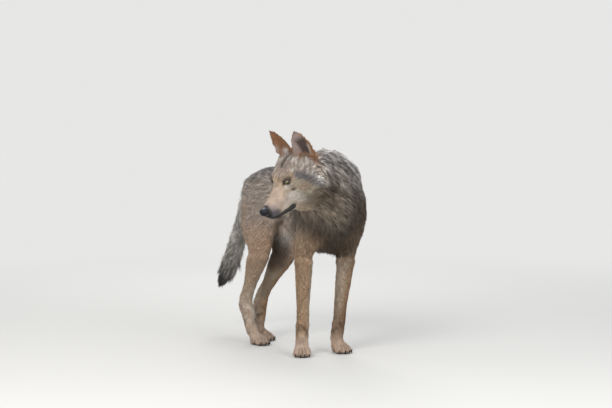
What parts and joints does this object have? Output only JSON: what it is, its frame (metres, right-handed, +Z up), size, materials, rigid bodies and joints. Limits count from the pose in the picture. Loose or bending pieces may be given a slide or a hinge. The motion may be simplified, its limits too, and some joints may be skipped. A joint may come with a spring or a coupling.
{
  "type": "timber wolf",
  "caption": "Life-size standing timber wolf in short summer coat, body curved, head turned to its right and lowered, tail hanging.",
  "frame": {"origin": "on the floor, under the middle of the whole wolf's bounding box", "axes": "+Z up; -Y the way the wolf stands facing; +X its left side. The body bends to its right, so the head faces between -X and -Y"},
  "size_m": [0.6116, 1.1116, 0.9533],
  "materials": {
    "coat": "grizzled grey, buff and tan fur, matt",
    "ear": "short rust-brown fur, paler hairs inside",
    "eye": "wet, clear and glossy over an amber iris",
    "nose": "black, moist and finely pebbled",
    "claw": "dark horn, worn to a soft shine"
  },
  "bodies": {
    "root": {"eye_left": "eye", "ear_left": "ear", "eye_right": "eye", "ear_right": "ear", "nose": "nose", "fore_right_claw_1": "claw", "fore_right_claw_2": "claw", "fore_right_claw_3": "claw", "fore_right_claw_4": "claw", "fore_left_claw_1": "claw", "fore_left_claw_2": "claw", "fore_left_claw_3": "claw", "fore_left_claw_4": "claw", "hind_right_claw_1": "claw", "hind_right_claw_2": "claw", "hind_right_claw_3": "claw", "hind_right_claw_4": "claw", "hind_left_claw_1": "claw", "hind_left_claw_2": "claw", "hind_left_claw_3": "claw", "hind_left_claw_4": "claw", "muzzle": "coat", "lower_jaw": "coat", "head": "coat", "neck": "coat", "chest": "coat", "loin": "coat", "tail_base": "coat", "tail_brush": "coat", "croup": "coat", "fore_right_upper_arm": "coat", "fore_right_forearm": "coat", "fore_right_paw": "coat", "fore_left_upper_arm": "coat", "fore_left_forearm": "coat", "fore_left_paw": "coat", "hind_right_thigh": "coat", "hind_right_shank": "coat", "hind_right_foot": "coat", "hind_left_thigh": "coat", "hind_left_shank": "coat", "hind_left_foot": "coat"}
  },
  "joints": []
}
